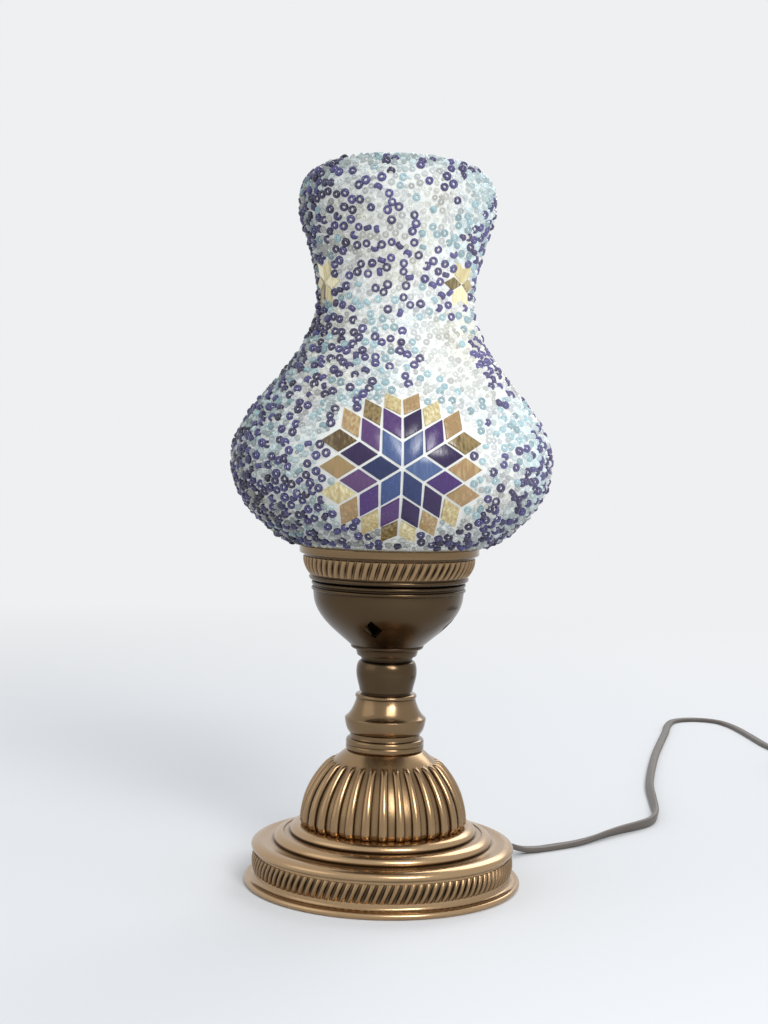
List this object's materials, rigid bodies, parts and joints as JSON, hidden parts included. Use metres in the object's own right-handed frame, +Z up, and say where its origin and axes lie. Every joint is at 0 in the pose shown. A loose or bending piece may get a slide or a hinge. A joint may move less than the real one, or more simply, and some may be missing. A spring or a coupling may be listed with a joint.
{
  "type": "mosaic table lamp",
  "caption": "Table lamp with a waisted mosaic glass shade of beads and rhomb tiles, on a stacked brass foot with a ribbed dome, with a flat cord, inline switch and plug.",
  "frame": {"origin": "centre of the round foot, on the surface that the lamp stands on", "axes": "+Z up along the lamp's stem, -Y towards the viewer of the picture, +X to the viewer's right, the cord leaves behind to the right"},
  "size_m": [0.4555, 0.5709, 0.3606],
  "materials": {
    "old_brass": "antiqued satin, darkened in the recesses",
    "brass": "antiqued satin",
    "plain_brass": "plain turned",
    "iron": "raw casting",
    "zinc_steel": "zinc plated",
    "card": "fibre disc",
    "felt": "dark green felt",
    "black_plastic": "fine matte",
    "cord": "soft PVC, grey-brown",
    "cores": "soft PVC, blue and brown",
    "bakelite": "dark brown, gloss",
    "porcelain": "white, gloss",
    "shade_glass": "clear blown glass",
    "grout": "white grout, matte",
    "beads": "navy, aqua and clear glass beads",
    "blue_tiles": "blue glass tiles, gloss",
    "purple_tiles": "purple glass tiles, gloss",
    "gold_tiles": "gold and amber glass tiles, gloss",
    "cream_rim": "cream, smooth",
    "bulb_glass": "pearl glass",
    "cap_metal": "bright",
    "vitrite": "black glass",
    "clear_glass": "clear",
    "tungsten": "fine coiled wire",
    "pin_nickel": "nickel plated"
  },
  "bodies": {
    "base": {"foot_shell": "old_brass", "foot_rope_band": "brass", "ballast_ring": "iron", "base_card": "card", "base_felt": "felt", "threaded_rod": "plain_brass", "base_nut": "zinc_steel", "base_washer": "zinc_steel", "cord_bushing": "black_plastic", "cord_grip": "black_plastic", "grip_screws": "zinc_steel", "internal_flex": "cord", "fluted_dome": "brass", "dome_collar": "old_brass", "baluster_knop": "brass", "upper_knop": "brass", "gallery_bowl": "brass", "gallery_rope_band": "brass", "gallery_rim": "old_brass", "bowl_washer": "plain_brass", "bowl_nut": "plain_brass", "holder_cap": "bakelite", "holder_block": "porcelain", "holder_skirt": "bakelite", "thread_shell": "plain_brass", "centre_contact": "plain_brass", "terminal_screws": "zinc_steel", "core_wires": "cores", "lamp_cord": "cord", "switch_lower": "black_plastic", "switch_upper": "black_plastic", "switch_contacts": "plain_brass", "switch_wires": "cores", "switch_screws": "zinc_steel", "cord_link": "cord", "cord_coil": "cord", "cord_tail": "cord", "plug_relief": "black_plastic", "plug_body": "black_plastic", "plug_pins": "pin_nickel", "pin_sleeves": "black_plastic"},
    "shade": {"shade_tube": "shade_glass", "shade_belly": "shade_glass", "shade_shoulder": "shade_glass", "shade_waist": "shade_glass", "shade_crown": "shade_glass", "grout_coat": "grout", "bead_coat": "beads", "star_tiles_blue": "blue_tiles", "star_tiles_purple": "purple_tiles", "star_tiles_gold": "gold_tiles", "flower_tiles": "gold_tiles", "vent_rim": "cream_rim"},
    "bulb": {"bulb_glass": "bulb_glass", "bulb_cap": "cap_metal", "bulb_insulator": "vitrite", "bulb_tip": "cap_metal", "bulb_stem": "clear_glass", "filament": "tungsten"},
    "rocker": {"switch_rocker": "black_plastic"}
  },
  "joints": [
    {"name": "shade_lift", "type": "slide", "parent": "base", "child": "shade", "axis": [0, 0, 1], "range_m": [0, 0.1]},
    {"name": "bulb_turn", "type": "hinge", "parent": "base", "child": "bulb", "pos_m": [0, 0, 0.1528], "axis": [0, 0, 1], "range_deg": [0, 900]},
    {"name": "rocker_tilt", "type": "hinge", "parent": "base", "child": "rocker", "pos_m": [0.3, 0.289, 0.0132], "axis": [1, 0, 0], "range_deg": [0, 16]}
  ]
}
